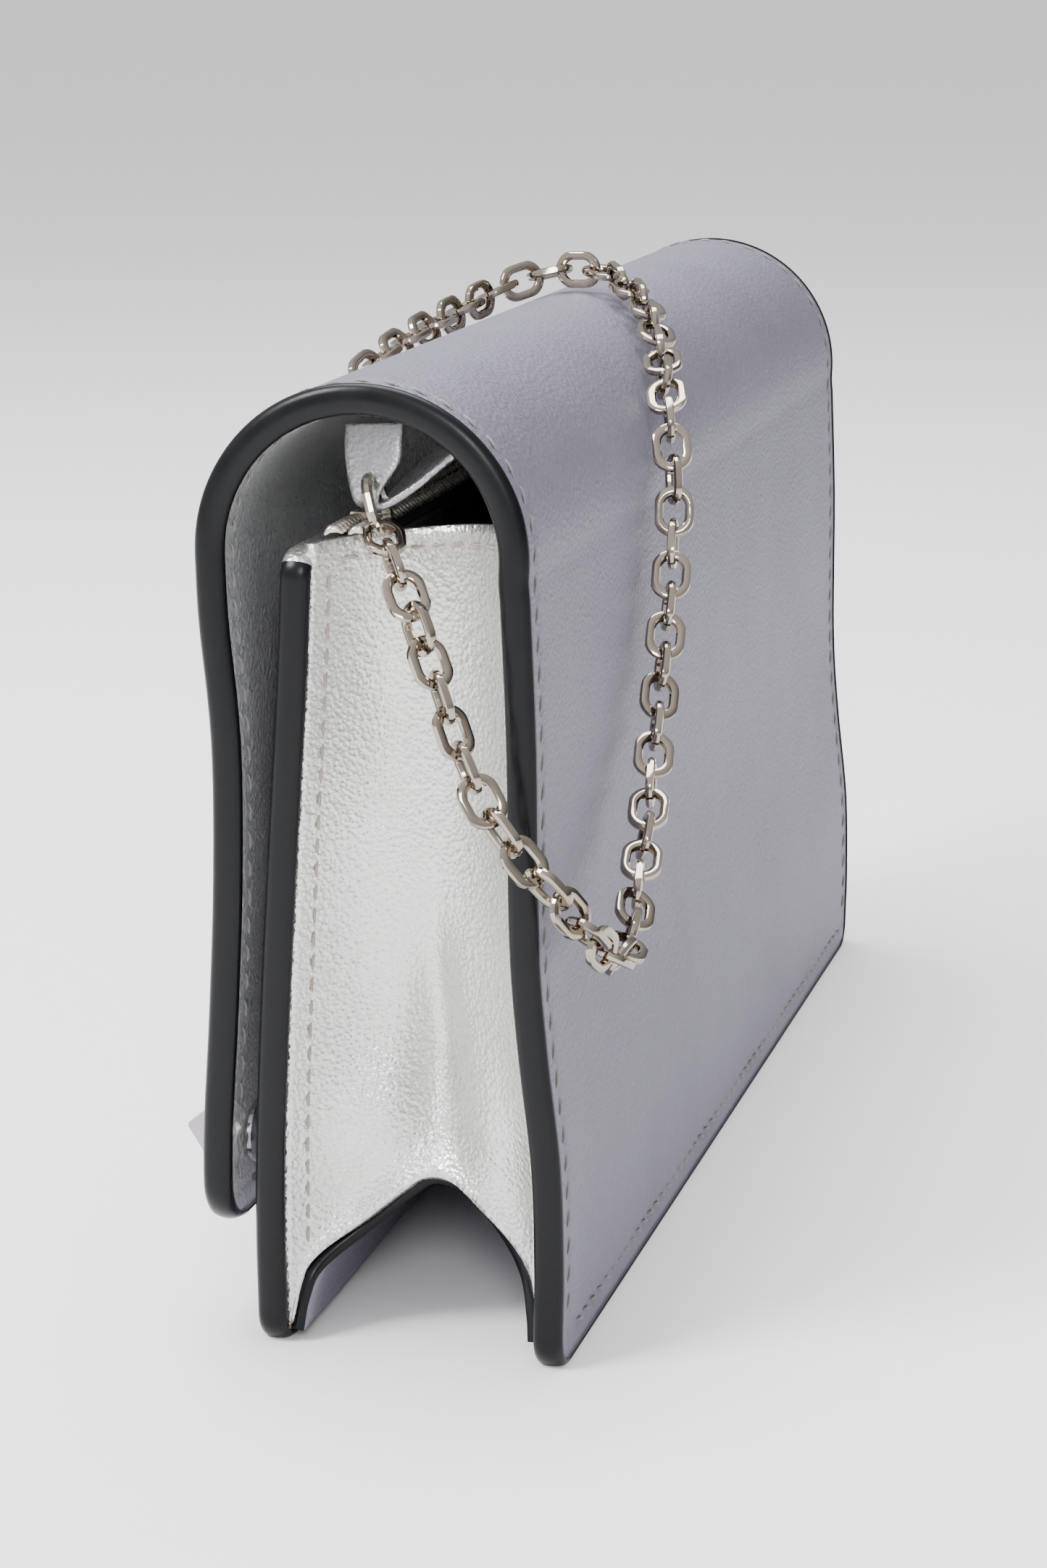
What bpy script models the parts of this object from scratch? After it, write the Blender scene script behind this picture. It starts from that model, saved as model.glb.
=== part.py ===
"""A small leather chain wallet: a gusseted pocket under a rolled flap, with a zip, snaps and a chain.

+X runs along the wallet, -Y is the flap's side and +Z is up. The origin is on the surface that
the wallet stands on, under its middle. Sections are drawn in millimetres, as (y, z) points, and
MM turns them into metres.
"""

import math

import bmesh
import bpy
import numpy as np
from mathutils import Matrix

MM = 0.001

# Driving dimensions, in millimetres.
LENGTH = 190.0
# The pieces without the chain span y -30.39 to 18.3 before this move brings their middle to 0.
SHIFT_Y = 6.04
ROLL_CENTRE = (-5.4, 95.2)
ROLL_RADIUS = 19.6
LEATHER = 1.2
STIFFENER = 0.4
LINING = 1.0
GAP = 0.3
CORNER_RADIUS = 4.0
FLAP_CORNER_RADIUS = 6.0
GUSSET_THICKNESS = 1.2
GUSSET_DEPTH = 6.5
GUSSET_TOP = 95.6
CHAIN_DIAMETER = 5.0

# The depth of each layer's middle below the outer face of a panel.
LEATHER_DEPTH = LEATHER / 2
STIFFENER_DEPTH = LEATHER + GAP + STIFFENER / 2
LINING_DEPTH = LEATHER + 2 * GAP + STIFFENER + LINING / 2
PANEL = LEATHER + 2 * GAP + STIFFENER + LINING

# Outer faces, from the foot upwards, each as a smooth curve through a few points.
BACK_FACE = [
    (18.2, 0.0), (18.2, 5.0), (18.3, 12.0), (17.9, 25.0), (16.3, 39.0), (15.3, 52.0), (15.0, 74.0), (14.3, 91.0),
]
FLAP_FACE = [
    (-25.0, 94.8), (-24.7, 87.0), (-23.5, 73.0), (-23.6, 57.0), (-24.4, 41.0), (-25.4, 26.0), (-25.6, 14.0),
]
FRONT_FACE = [
    (-19.0, 0.0), (-19.0, 5.0), (-19.1, 13.0), (-18.9, 25.0), (-18.0, 43.0), (-16.9, 60.0), (-15.5, 80.0),
    (-14.7, 95.2),
]
# The underside of the folded bottom, from the front panel over the ridge to the back panel.
BOTTOM_LINE = [
    (-14.2, 1.5), (-14.1, 6.0), (-12.2, 10.8), (-7.0, 15.2), (-2.0, 19.6),
    (1.0, 21.6), (4.5, 20.6), (9.3, 16.6), (12.3, 11.8), (13.3, 6.5), (13.4, 1.5),
]

SNAP_X = 86.0
SNAP_Z = 23.5
POST_RADIUS = 1.3
ZIP_Y = -8.0
ZIP_Z = 97.6
ZIP_HALF = 84.0
SLIDER_X = -68.0
PULL_PIN_HEIGHT = 2.38
TAB_THICKNESS = 1.3

# The chain's centreline, in millimetres. It hangs from the right tab, leans on the back panel,
# crosses the roll, hangs across the flap and goes round the left end to the left tab.
LOOP_ROUTE = [
    (92.8, -2.8, 96.4), (95.6, 0.0, 92.4), (97.8, 2.6, 87.6), (99.6, 5.4, 81.5), (100.6, 8.2, 74.5),
    (101.3, 11.4, 68.5), (101.4, 15.5, 63.2), (99.6, 19.6, 58.0), (95.0, 22.2, 52.6), (88.0, 23.0, 48.9),
    (79.0, 22.4, 48.8), (69.5, 21.2, 53.4), (60.5, 20.2, 59.4), (53.0, 19.2, 66.0), (45.5, 18.5, 75.5),
    (39.0, 18.0, 85.4), (35.5, 17.5, 94.0), (32.5, 16.3, 101.4), (26.5, 14.2, 106.6), (17.7, 11.5, 110.3),
    (6.2, 6.9, 114.3), (-5.0, 0.0, 117.1), (-7.8, -4.1, 117.8), (-8.2, -9.2, 117.5), (-6.1, -13.9, 116.1),
    (-1.0, -17.2, 114.5), (9.0, -19.6, 112.8), (20.0, -21.4, 111.2), (30.0, -23.4, 108.9), (38.0, -25.8, 105.0),
    (43.6, -27.7, 100.6),
]
SWAG_ROUTE = [
    (51.0, -28.2, 88.8), (58.5, -27.9, 80.5), (63.3, -27.0, 70.0), (64.0, -26.9, 58.0), (58.5, -27.5, 46.5),
    (47.0, -28.1, 37.0), (30.0, -28.5, 31.0), (10.0, -28.6, 29.0), (-10.0, -28.5, 31.0), (-30.0, -28.1, 36.5),
    (-49.0, -27.4, 45.5), (-65.0, -26.9, 57.0), (-77.0, -27.0, 70.0), (-84.5, -27.8, 81.0), (-87.5, -28.3, 88.6),
]
RETURN_ROUTE = [
    (-94.0, -28.5, 101.2), (-97.0, -27.9, 102.7), (-101.5, -25.5, 103.6), (-105.2, -20.5, 103.0),
    (-105.5, -14.5, 101.5), (-103.0, -9.4, 99.6), (-99.2, -5.6, 97.6), (-94.6, -3.4, 96.0),
]
END_LINK_CENTRE = (89.1, -4.9, 100.5)
END_LINK_DOWN = (0.22, 0.3, -0.93)
END_LINK_LENGTH = 7.8
END_LINK_WIDTH = 6.6
LINK_WIRE = 1.35


def smooth(points, steps=4):
    """Points along a Catmull-Rom curve through the given ones."""
    p = np.array(points, float)
    ends = [2 * p[0] - p[1], *p, 2 * p[-1] - p[-2]]
    out = []
    for a, b, c, d in zip(ends, ends[1:], ends[2:], ends[3:]):
        for k in range(steps):
            t = k / steps
            square = (2 * a - 5 * b + 4 * c - d) * t**2
            cube = (3 * b - a - 3 * c + d) * t**3
            out.append(0.5 * (2 * b + (c - a) * t + square + cube))
    out.append(p[-1])
    return np.array(out)


def evenly(line, spacing):
    """The line again, with points about that spacing apart."""
    run = np.concatenate([[0], np.cumsum(np.linalg.norm(np.diff(line, axis=0), axis=1))])
    at = np.linspace(0, run[-1], max(2, round(run[-1] / spacing) + 1))
    return np.stack([np.interp(at, run, line[:, k]) for k in range(line.shape[1])], axis=1)


def inward(section, depth):
    """A section moved to its right-hand side by that depth."""
    along = np.gradient(section, axis=0)
    along /= np.linalg.norm(along, axis=1)[:, None]
    return section + depth * np.stack([along[:, 1], -along[:, 0]], axis=1)


def roll_arc(start, end, steps):
    """Points round the roll: 0 degrees faces +Y and 180 degrees faces -Y."""
    angles = np.radians(np.linspace(start, end, steps + 1))
    circle = np.stack([np.cos(angles), np.sin(angles)], 1)
    return np.array(ROLL_CENTRE) + ROLL_RADIUS * circle


def shell_section():
    """The outer face of the roll and the back, from the flap's hinge down to the back's foot."""
    return np.concatenate([smooth(BACK_FACE, 3), roll_arc(-6, 180, 22)])[::-1]


def face_y(face, z, depth=0.0):
    """The y of a panel's face at height z, moved by a depth along Y."""
    line = smooth(face, 6)
    order = np.argsort(line[:, 1])
    return float(np.interp(z, line[order, 1], line[order, 0])) + depth


def add(name, mesh, material, collection="chain_wallet"):
    """An object for a mesh or curve, linked to its collection, with its one material."""
    thing = bpy.data.objects.new(name, mesh)
    bpy.data.collections[collection].objects.link(thing)
    if material:
        mesh.materials.append(bpy.data.materials[material])
    return thing


def grid_object(name, rows, material):
    """A sheet whose rows of points, in millimetres, replace a flat grid's."""
    rows = np.array(rows, float) * MM
    bm = bmesh.new()
    bmesh.ops.create_grid(bm, x_segments=rows.shape[1] - 1, y_segments=rows.shape[0] - 1, size=1)
    bm.verts.ensure_lookup_table()
    for vertex, point in zip(bm.verts, rows.reshape(-1, 3)):
        vertex.co = point
    mesh = bpy.data.meshes.new(name)
    bm.to_mesh(mesh)
    bm.free()
    mesh.shade_smooth()
    return add(name, mesh, material)


def thicken(thing, thickness):
    """Gives a sheet its thickness, half on each side."""
    solid = thing.modifiers.new("thickness", "SOLIDIFY")
    solid.thickness = thickness * MM
    solid.offset = 0
    solid.use_even_offset = True
    return thing


def corner_inset(distance, radius):
    """How far a rounded corner cuts in, at a distance from the panel's edge."""
    if distance >= radius:
        return 0.0
    return radius - math.sqrt(radius**2 - (radius - distance) ** 2)


def layer(name, section, depth, thickness, material, half, start_radius=0.0, end_radius=0.0,
          trim=(0.0, 0.0)):
    """One layer of a panel: a section run along X, with rounded corners where a radius is given."""
    line = inward(section, depth)
    run = np.concatenate([[0], np.cumsum(np.linalg.norm(np.diff(line, axis=0), axis=1))])
    at = set(run[(run > trim[0]) & (run < run[-1] - trim[1])])
    at |= {trim[0], run[-1] - trim[1]}
    for share in (0.08, 0.3, 0.6, 1.0):
        if start_radius:
            at.add(trim[0] + share * start_radius)
        if end_radius:
            at.add(run[-1] - trim[1] - share * end_radius)
    rows = []
    last = -1.0
    for s in sorted(at):
        if s - last < 0.25:
            continue
        last = s
        inset = corner_inset(s - trim[0], start_radius) + corner_inset(run[-1] - trim[1] - s, end_radius)
        y, z = (np.interp(s, run, line[:, k]) for k in (0, 1))
        rows.append([(x * (half - inset), y, z) for x in (-1, 1)])
    return thicken(grid_object(name, rows, material), thickness)


def cutter(name, radius, x, y_range, z):
    """A cylinder along Y that cuts a rivet hole."""
    bm = bmesh.new()
    length = (y_range[1] - y_range[0]) * MM
    bmesh.ops.create_cone(
        bm, cap_ends=True, segments=16, radius1=radius * MM, radius2=radius * MM, depth=length
    )
    bmesh.ops.rotate(bm, verts=bm.verts, matrix=Matrix.Rotation(math.pi / 2, 3, "X"), cent=(0, 0, 0))
    bmesh.ops.translate(bm, verts=bm.verts, vec=(x * MM, sum(y_range) / 2 * MM, z * MM))
    mesh = bpy.data.meshes.new(name)
    bm.to_mesh(mesh)
    bm.free()
    thing = add(name, mesh, None, "cutters")
    thing.hide_render = True
    thing.display_type = "WIRE"
    return thing


def pierce(things, holes):
    """Cuts the holes into each of the things."""
    for thing in things:
        for hole in holes:
            cut = thing.modifiers.new("hole", "BOOLEAN")
            cut.object = hole
            cut.operation = "DIFFERENCE"
            cut.solver = "EXACT"


def turned(name, profile, centre, towards, material, segments=24):
    """A turned piece. Its profile is (radius, distance) pairs, with the distance measured along
    Y from the centre, and towards is +1 or -1 for the way that it grows."""
    bm = bmesh.new()
    rings = []
    for radius, distance in profile:
        y = centre[1] + towards * distance
        if radius == 0:
            rings.append([bm.verts.new((centre[0] * MM, y * MM, centre[2] * MM))])
            continue
        ring = []
        for k in range(segments):
            a = 2 * math.pi * k / segments
            x = centre[0] + radius * math.cos(a)
            z = centre[2] + radius * math.sin(a)
            ring.append(bm.verts.new((x * MM, y * MM, z * MM)))
        rings.append(ring)
    for low, high in zip(rings, rings[1:]):
        for k in range(segments):
            j = (k + 1) % segments
            if len(low) == 1:
                bm.faces.new((low[0], high[j], high[k]))
            elif len(high) == 1:
                bm.faces.new((low[k], low[j], high[0]))
            else:
                bm.faces.new((low[k], low[j], high[j], high[k]))
    bmesh.ops.recalc_face_normals(bm, faces=bm.faces)
    mesh = bpy.data.meshes.new(name)
    bm.to_mesh(mesh)
    bm.free()
    mesh.shade_smooth()
    mesh.set_sharp_from_angle(angle=math.radians(35))
    return add(name, mesh, material)


def outline_bar(name, outline, x_range, material):
    """A flat (y, z) outline run along X between two places: a filled curve, extruded."""
    curve = bpy.data.curves.new(name, "CURVE")
    curve.dimensions = "2D"
    curve.fill_mode = "BOTH"
    curve.extrude = (x_range[1] - x_range[0]) / 2 * MM
    spline = curve.splines.new("POLY")
    spline.points.add(len(outline) - 1)
    for point, (y, z) in zip(spline.points, outline):
        point.co = (y * MM, z * MM, 0, 1)
    spline.use_cyclic_u = True
    thing = add(name, curve, material)
    thing.location = (sum(x_range) / 2 * MM, 0, 0)
    thing.rotation_euler = (math.pi / 2, 0, math.pi / 2)
    return thing


def tube(name, route, material):
    """A stretch of the chain, as a plain tube along its route."""
    line = evenly(smooth(route, 8), 2.0 * CHAIN_DIAMETER) * MM
    curve = bpy.data.curves.new(name, "CURVE")
    curve.dimensions = "3D"
    curve.bevel_depth = CHAIN_DIAMETER / 2 * MM
    curve.bevel_resolution = 2
    curve.use_fill_caps = True
    spline = curve.splines.new("POLY")
    spline.points.add(len(line) - 1)
    for point, place in zip(spline.points, line):
        point.co = (*place, 1)
    return add(name, curve, material)


def strap(name, path, across, thickness, material):
    """A flat strap along a path. Each point has the vector from the strap's middle to its edge."""
    rows = [[centre - half, centre, centre + half] for centre, half in zip(path, across)]
    return thicken(grid_object(name, rows, material), thickness)


# Leather, stiffener and lining of each panel


def make_shell():
    """The back panel and the roll over the top, in three layers."""
    section = shell_section()
    half = LENGTH / 2
    radius = CORNER_RADIUS
    layer("shell_leather", section, LEATHER_DEPTH, LEATHER, "silver_leather", half, 0, radius)
    layer("shell_stiffener", section, STIFFENER_DEPTH, STIFFENER, "board", half - 0.8, 0, radius, (0, 0.8))
    layer("shell_lining", section, LINING_DEPTH, LINING, "pale_lining", half, 0, radius, (0, 0.3))


def make_flap():
    """The flap's front drop, below its hinge line, pierced for the snap posts."""
    section = smooth(FLAP_FACE, 4)[::-1]
    half = LENGTH / 2
    radius = FLAP_CORNER_RADIUS
    layers = [
        layer("flap_leather", section, LEATHER_DEPTH, LEATHER, "silver_leather", half, radius),
        layer("flap_stiffener", section, STIFFENER_DEPTH, STIFFENER, "board", half - 0.8, radius, 0, (0.8, 0)),
        layer("flap_lining", section, LINING_DEPTH, LINING, "pale_lining", half, radius),
    ]
    holes = [
        cutter(f"cut_flap_{s:+d}", POST_RADIUS + GAP, s * SNAP_X, (-30.0, -19.0), SNAP_Z) for s in (-1, 1)
    ]
    pierce(layers, holes)


def make_front():
    """The front panel, pierced for the ball studs."""
    section = smooth(FRONT_FACE, 3)
    half = LENGTH / 2
    radius = CORNER_RADIUS
    layers = [
        layer("front_leather", section, LEATHER_DEPTH, LEATHER, "silver_leather", half, radius, radius),
        layer("front_stiffener", section, STIFFENER_DEPTH, STIFFENER, "board", half - 0.8, radius, radius,
              (0.8, 0.8)),
        layer("front_lining", section, LINING_DEPTH, LINING, "black_lining", half, radius, radius, (0.3, 0)),
    ]
    holes = [
        cutter(f"cut_front_{s:+d}", POST_RADIUS + GAP, s * SNAP_X, (-21.0, -13.0), SNAP_Z) for s in (-1, 1)
    ]
    pierce(layers, holes)


# Gussets and bottom


def bottom_section():
    """The middle line of the folded bottom."""
    return inward(smooth(BOTTOM_LINE, 3), -GUSSET_THICKNESS / 2)


def trough(share):
    """How far a gusset dips in, from 0 at the panels to 1 in its middle."""
    return 1 - abs(2 * share - 1) ** 2.6


def gusset_x(share, height_share):
    """The gusset's middle surface, as a distance from the wallet's middle."""
    depth = GUSSET_DEPTH * (0.8 + 0.5 * (1 - height_share) ** 2)
    return LENGTH / 2 - 1.4 - depth * trough(share)


def gusset_span(z):
    """The y of the gusset's middle surface next to the front and back linings."""
    clear = GAP + GUSSET_THICKNESS / 2
    return face_y(FRONT_FACE, z, PANEL + clear), face_y(BACK_FACE, z, -PANEL - clear)


def make_gussets():
    """An end wall at each end, dished in towards the middle, cut along the folded bottom."""
    low = smooth(BOTTOM_LINE, 6)
    for name, side in (("gusset_right", 1), ("gusset_left", -1)):
        columns = []
        for share in np.linspace(0, 1, 15):
            column = []
            front, back = gusset_span(6.0)
            y_low = front + share * (back - front)
            z_low = max(1.5, float(np.interp(y_low, low[:, 0], low[:, 1])))
            for height in np.linspace(0, 1, 13):
                z = z_low + height * (GUSSET_TOP - z_low)
                front, back = gusset_span(z)
                column.append((side * gusset_x(share, height), front + share * (back - front), z))
            columns.append(column)
        thicken(grid_object(name, columns, "silver_leather"), GUSSET_THICKNESS)


def make_bottom():
    """The bottom, folded up into a ridge, its ends following the gussets."""
    line = bottom_section()
    width = line[-1, 0] - line[0, 0]
    rows = []
    for y, z in line:
        share = min(1.0, max(0.0, (y - line[0, 0]) / width))
        end = gusset_x(share, 0.0) - GUSSET_THICKNESS / 2 - 2.0
        rows.append([(-end, y, z), (end, y, z)])
    thicken(grid_object("bottom_fold", rows, "silver_leather"), GUSSET_THICKNESS)


# Inside


def make_divider():
    """The zip pocket's rear wall."""
    line = ((-4.6, 96.2), (-3.9, 72.0), (-2.4, 48.0), (-1.4, 26.6))
    rows = [[(x, y, z) for x in (-83.5, 83.5)] for y, z in line]
    thicken(grid_object("pocket_divider", rows, "black_lining"), 1.0)


def make_card_slots():
    """Stepped card pockets on the back wall's inner face."""
    section = smooth(BACK_FACE, 3)[::-1]
    tops = {"card_slot_upper": 87.0, "card_slot_middle": 79.0, "card_slot_lower": 71.0}
    for k, (name, top) in enumerate(tops.items()):
        line = inward(section, PANEL + GAP + 0.4 + k * 1.1)[::-1]
        heights = np.linspace(30.0, top, 9)
        depths = np.interp(heights, line[:, 1], line[:, 0])
        rows = [[(x, float(y), z) for x in (-76.0, 76.0)] for y, z in zip(depths, heights)]
        thicken(grid_object(name, rows, "black_lining"), 0.8)


def make_zip():
    """The zip along the pocket's mouth: two tapes, two rows of coil, end stops, slider and pull."""
    front = face_y(FRONT_FACE, 95.0, PANEL + GAP)
    rear = -5.4
    tape = 0.5
    floor = ZIP_Z - 1.2
    outline_bar(
        "zip_tape_front",
        [(front, 86.0), (front + tape, 86.0), (front + tape, floor - tape), (ZIP_Y - 0.5, floor - tape),
         (ZIP_Y - 0.5, floor), (front, floor)],
        (-ZIP_HALF, ZIP_HALF), "zip_tape",
    )
    outline_bar(
        "zip_tape_rear",
        [(ZIP_Y + 0.5, floor - tape), (rear - tape, floor - tape), (rear - tape, 86.0), (rear, 86.0),
         (rear, floor), (ZIP_Y + 0.5, floor)],
        (-ZIP_HALF, ZIP_HALF), "zip_tape",
    )
    for name, side in (("zip_coil_front", -1), ("zip_coil_rear", 1)):
        inner, outer = ZIP_Y + side * 0.5, ZIP_Y + side * 2.4
        outline = [
            (inner, ZIP_Z - 0.9), (outer, ZIP_Z - 0.9), (outer, ZIP_Z + 0.1), (ZIP_Y + side * 1.9, ZIP_Z + 0.6),
            (inner, ZIP_Z + 0.6),
        ]
        outline_bar(name, outline if side < 0 else outline[::-1], (-76.0, 80.0), "gunmetal_coil")
    for name, x in (("zip_stop_right", 82.0), ("zip_stop_left", -79.0)):
        outline = [
            (ZIP_Y - 2.4, ZIP_Z - 0.9), (ZIP_Y + 2.4, ZIP_Z - 0.9), (ZIP_Y + 2.0, ZIP_Z + 0.9),
            (ZIP_Y - 2.0, ZIP_Z + 0.9),
        ]
        outline_bar(name, outline, (x - 1.2, x + 1.2), "bright_metal")


def box(bm, low, high):
    """A box between two corners, in millimetres."""
    made = bmesh.ops.create_cube(bm, size=1)["verts"]
    size = [(b - a) * MM for a, b in zip(low, high)]
    middle = [(a + b) / 2 * MM for a, b in zip(low, high)]
    bmesh.ops.scale(bm, verts=made, vec=size)
    bmesh.ops.translate(bm, verts=made, vec=middle)


def boxes_object(name, boxes, material):
    """Boxes that a union joins into one piece."""
    things = []
    for k, (low, high) in enumerate(boxes):
        bm = bmesh.new()
        box(bm, low, high)
        mesh = bpy.data.meshes.new(name)
        bm.to_mesh(mesh)
        bm.free()
        first = k == 0
        thing = add(name if first else f"join_{name}_{k}", mesh, material if first else None,
                    "chain_wallet" if first else "cutters")
        if not first:
            thing.hide_render = True
            thing.display_type = "WIRE"
            join = things[0].modifiers.new("join", "BOOLEAN")
            join.object = thing
            join.operation = "UNION"
            join.solver = "EXACT"
        things.append(thing)
    return things[0]


def make_slider():
    """The slider straddles the coil, with its blade in the slot between the rows."""
    x, y, z = SLIDER_X, ZIP_Y, ZIP_Z
    boxes_object(
        "zip_slider",
        [
            ((x - 4.5, y - 3.1, z + 0.95), (x + 4.5, y + 3.1, z + 1.75)),
            ((x - 4.5, y - 1.9, z - 2.9), (x + 4.5, y + 1.9, z - 2.1)),
            ((x - 1.5, y - 0.2, z - 2.5), (x + 1.5, y + 0.2, z + 1.3)),
            ((x - 2.6, y - 1.0, z + 1.5), (x - 1.8, y + 1.0, z + 3.8)),
            ((x + 1.8, y - 1.0, z + 1.5), (x + 2.6, y + 1.0, z + 3.8)),
            ((x - 2.3, y - 0.9, z + 3.1), (x + 2.3, y + 0.9, z + 3.7)),
        ],
        "bright_metal",
    )
    low, high = z + 2.03, z + 2.73
    boxes_object(
        "zip_pull",
        [
            ((x - 0.35, y - 2.7, low), (x + 0.35, y + 2.7, high)),
            ((x - 0.2, y - 2.65, low + 0.05), (x + 5.0, y - 1.45, high - 0.05)),
            ((x - 0.2, y + 1.45, low + 0.05), (x + 5.0, y + 2.65, high - 0.05)),
            ((x + 4.0, y - 2.9, low), (x + 14.0, y + 2.9, high)),
        ],
        "bright_metal",
    )


# Snaps


def pyramid(name, x, material):
    """A four-sided stud on the flap's outer face, with its post through the flap."""
    face = face_y(FLAP_FACE, SNAP_Z)
    bm = bmesh.new()
    bmesh.ops.create_cone(
        bm, cap_ends=True, segments=4, radius1=4.0 * math.sqrt(2) * MM, radius2=0.35 * MM, depth=4.6 * MM
    )
    bmesh.ops.rotate(bm, verts=bm.verts, matrix=Matrix.Rotation(math.pi / 4, 3, "Z"), cent=(0, 0, 0))
    bmesh.ops.rotate(bm, verts=bm.verts, matrix=Matrix.Rotation(math.pi / 2, 3, "X"), cent=(0, 0, 0))
    bmesh.ops.translate(bm, verts=bm.verts, vec=(x * MM, (face - GAP - 2.3) * MM, SNAP_Z * MM))
    mesh = bpy.data.meshes.new(name)
    bm.to_mesh(mesh)
    bm.free()
    stud = add(name, mesh, material)
    post = cutter(f"post_{name}", POST_RADIUS, x, (face - GAP - 1.0, face + PANEL + GAP + 0.25), SNAP_Z)
    join = stud.modifiers.new("post", "BOOLEAN")
    join.object = post
    join.operation = "UNION"
    join.solver = "EXACT"


def make_snaps():
    """A stud, a socket, a ball and a rivet at each lower corner of the flap."""
    inner = face_y(FLAP_FACE, SNAP_Z, PANEL)
    front = face_y(FRONT_FACE, SNAP_Z)
    for side, x in (("right", SNAP_X), ("left", -SNAP_X)):
        pyramid(f"stud_cap_{side}", x, "bright_metal")
        socket = [(0, 0.6), (4.0, 0.6), (4.0, 1.1), (3.3, 1.9), (2.2, 1.9), (2.2, 1.15), (0, 1.15)]
        turned(f"snap_socket_{side}", socket, (x, inner, SNAP_Z), 1, "bright_metal")
        ball = [
            (0, -1.2), (POST_RADIUS, -1.2), (POST_RADIUS, 0.3), (3.8, 0.3), (3.8, 0.6), (3.3, 0.8),
            (1.5, 0.8), (1.2, 1.1), (1.5, 1.5), (1.1, 1.85), (0, 1.85),
        ]
        turned(f"snap_ball_{side}", ball, (x, front, SNAP_Z), -1, "bright_metal")
        rivet = [
            (0, 1.5), (POST_RADIUS, 1.5), (POST_RADIUS, PANEL + GAP), (2.4, PANEL + GAP), (2.2, PANEL + 0.8),
            (0, PANEL + 0.9),
        ]
        turned(f"snap_rivet_{side}", rivet, (x, front, SNAP_Z), 1, "bright_metal")


# Chain and its tabs


def make_tabs():
    """A leather strap under each end of the roll, pinched where the chain's end link holds it."""
    centres = smooth(
        [(84.5, -8.2, 109.0), (86.6, -9.2, 107.4), (88.3, -8.7, 103.8), (88.7, -5.6, 101.2),
         (88.2, -3.0, 102.6), (86.2, 0.4, 104.6), (84.0, 4.0, 105.6)], 3,
    )
    halves = smooth(
        [(0.6, 3.8, 0.0), (1.4, 3.0, 0.0), (1.5, 0.2, 0.0), (0.9, 0.0, 0.0), (1.5, 0.2, 0.1),
         (2.4, 1.3, 0.6), (3.2, 1.4, 0.8)], 3,
    )
    for name, side in (("tab_right", 1), ("tab_left", -1)):
        mirror = np.array([side, 1, 1])
        strap(name, centres * mirror, halves * mirror, TAB_THICKNESS, "silver_leather")


def end_link(name, side):
    """The chain's end link: an oval ring through the tab, in the plane of X and its own length."""
    down = np.array(END_LINK_DOWN) / np.linalg.norm(END_LINK_DOWN)
    across = np.array([1.0, 0.0, 0.0])
    across -= down * across.dot(down)
    across /= np.linalg.norm(across)
    half_width = (END_LINK_WIDTH - LINK_WIRE) / 2
    straight = (END_LINK_LENGTH - END_LINK_WIDTH) / 2
    mirror = np.array([side, 1, 1])
    curve = bpy.data.curves.new(name, "CURVE")
    curve.dimensions = "3D"
    curve.bevel_depth = LINK_WIRE / 2 * MM
    curve.bevel_resolution = 2
    spline = curve.splines.new("POLY")
    steps = 20
    spline.points.add(steps - 1)
    for k, point in enumerate(spline.points):
        angle = 2 * math.pi * (k + 0.5) / steps
        shift = math.copysign(straight, math.sin(angle))
        place = np.array(END_LINK_CENTRE) + across * half_width * math.cos(angle)
        place = (place + down * (half_width * math.sin(angle) + shift)) * mirror * MM
        point.co = (*place, 1)
    spline.use_cyclic_u = True
    add(name, curve, "chain_metal")


def make_chain():
    """The chain: its two end links and the three stretches between them."""
    end_link("end_link_right", 1)
    end_link("end_link_left", -1)
    tube("chain_loop", LOOP_ROUTE, "chain_metal")
    tube("chain_swag", SWAG_ROUTE, "chain_metal")
    tube("chain_return", RETURN_ROUTE, "chain_metal")


MATERIALS = {
    "silver_leather": ((0.62, 0.62, 0.66), 0.38, 0.75),
    "pale_lining": ((0.60, 0.61, 0.63), 0.45, 0.5),
    "black_lining": ((0.02, 0.02, 0.022), 0.8, 0.0),
    "board": ((0.25, 0.2, 0.15), 0.9, 0.0),
    "zip_tape": ((0.015, 0.015, 0.017), 0.85, 0.0),
    "gunmetal_coil": ((0.45, 0.43, 0.4), 0.3, 0.9),
    "bright_metal": ((0.8, 0.78, 0.75), 0.15, 1.0),
    "chain_metal": ((0.72, 0.68, 0.62), 0.15, 1.0),
}


def make_materials():
    """A plain Principled material for each finish."""
    for name, (colour, roughness, metallic) in MATERIALS.items():
        material = bpy.data.materials.new(name)
        material.use_nodes = True
        shader = material.node_tree.nodes["Principled BSDF"]
        shader.inputs["Base Color"].default_value = (*colour, 1)
        shader.inputs["Roughness"].default_value = roughness
        shader.inputs["Metallic"].default_value = metallic


def pivot(name, place, children, base):
    """An empty on a joint's axis, with the pieces that move about it."""
    empty = bpy.data.objects.new(name, None)
    bpy.data.collections["chain_wallet"].objects.link(empty)
    empty.parent = base
    empty.location = [value * MM for value in place]
    for child in children:
        thing = bpy.data.objects[child]
        thing.parent = empty
        thing.matrix_parent_inverse = Matrix.Translation(empty.location).inverted()


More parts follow.
